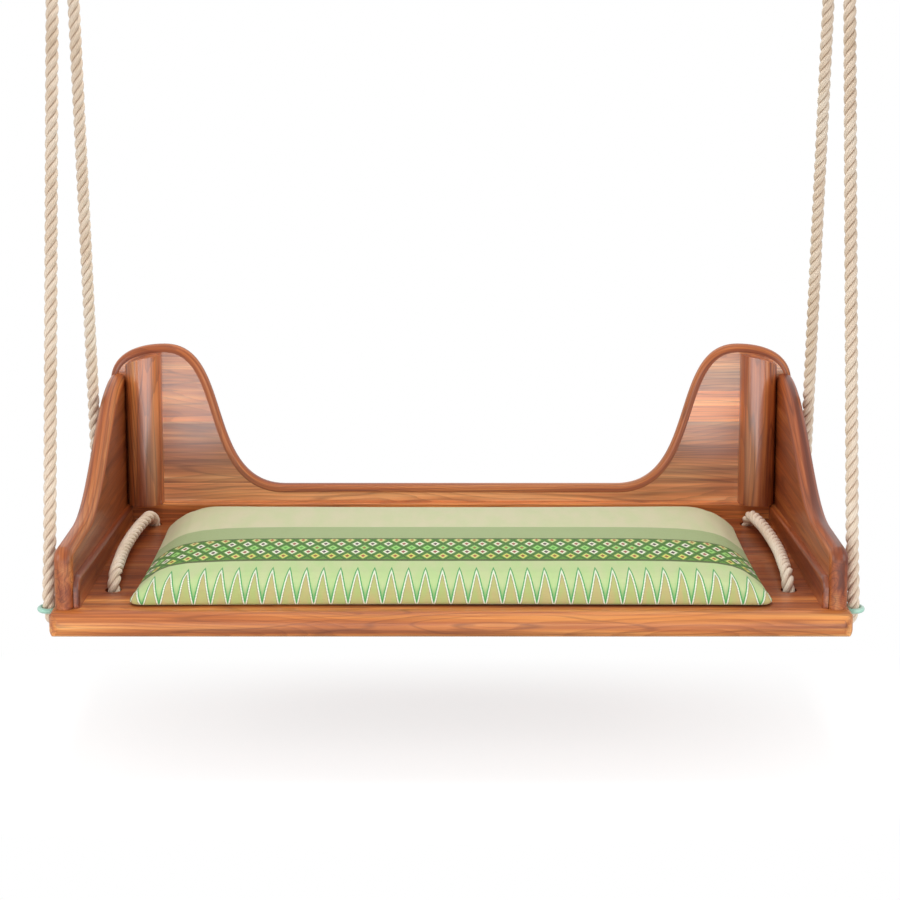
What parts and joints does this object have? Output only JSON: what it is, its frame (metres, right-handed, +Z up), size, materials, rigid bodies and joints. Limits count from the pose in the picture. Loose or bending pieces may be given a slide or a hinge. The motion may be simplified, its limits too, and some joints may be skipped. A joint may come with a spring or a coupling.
{
  "type": "hanging swing bed",
  "caption": "Wooden platform swing bed with a lobed back, low ogee sides and a woven cushion, hung on rope legs from two pivoting ceiling fittings.",
  "frame": {"origin": "on the ceiling plane, midway between the two ceiling plates and on the swing axis seen from above", "axes": "+X to the right of someone facing the bed, +Y from its front to its back, +Z up"},
  "size_m": [1.71, 0.78, 2.072],
  "materials": {
    "teak": "satin",
    "dark_teak": "satin",
    "rope": "matte",
    "mint_metal": "satin",
    "steel": "satin",
    "woven_cover": "matte",
    "filling": "matte"
  },
  "bodies": {
    "ceiling": {"ceiling_plate_left": "steel", "ceiling_plate_right": "steel", "swing_pin_left": "steel", "swing_pin_right": "steel"},
    "hangers": {"hanger_link_left": "steel", "hanger_link_right": "steel", "sway_pin_left": "steel", "sway_pin_right": "steel"},
    "legs_left": {"rope_sockets_left": "steel", "rope_front_left": "rope", "rope_rear_left": "rope"},
    "legs_right": {"rope_sockets_right": "steel", "rope_front_right": "rope", "rope_rear_right": "rope"},
    "bed": {"front_rail": "teak", "back_rail": "teak", "end_rail_left": "teak", "end_rail_right": "teak", "back_panel": "teak", "side_panel_left": "teak", "side_panel_right": "teak", "back_plinth": "teak", "side_plinth_left": "teak", "side_plinth_right": "teak", "deck_boards": "dark_teak", "bearers": "dark_teak", "frame_dowels": "dark_teak", "panel_dowels": "dark_teak", "corner_post_left": "dark_teak", "corner_post_right": "dark_teak", "ring_eye_front_left": "mint_metal", "ring_eye_rear_left": "mint_metal", "ring_eye_front_right": "mint_metal", "ring_eye_rear_right": "mint_metal", "rope_run_left": "rope", "rope_run_right": "rope"},
    "cushion": {"cushion_cover": "woven_cover", "cushion_core": "filling"}
  },
  "joints": [
    {"name": "fore_aft_swing", "type": "hinge", "parent": "ceiling", "child": "hangers", "pos_m": [0, 0, -0.034], "axis": [1, 0, 0], "range_deg": [-25, 25]},
    {"name": "side_sway", "type": "hinge", "parent": "hangers", "child": "legs_left", "pos_m": [-0.815, 0, -0.07], "axis": [0, 1, 0], "range_deg": [-1.4, 1.4]},
    {"name": "side_sway_right", "type": "hinge", "parent": "hangers", "child": "legs_right", "pos_m": [0.815, 0, -0.07], "axis": [0, 1, 0], "range_deg": [-1.4, 1.4]},
    {"name": "bed_level", "type": "hinge", "parent": "legs_left", "child": "bed", "pos_m": [-0.809, 0, -2.014], "axis": [0, 1, 0], "range_deg": [-1.4, 1.4]},
    {"name": "cushion_lift", "type": "slide", "parent": "bed", "child": "cushion", "axis": [0, 0, 1], "range_m": [0, 0.3]}
  ],
  "couplings": [
    {"joint": "side_sway_right", "follows": "side_sway", "ratio": 1},
    {"joint": "bed_level", "follows": "side_sway", "ratio": -1}
  ]
}
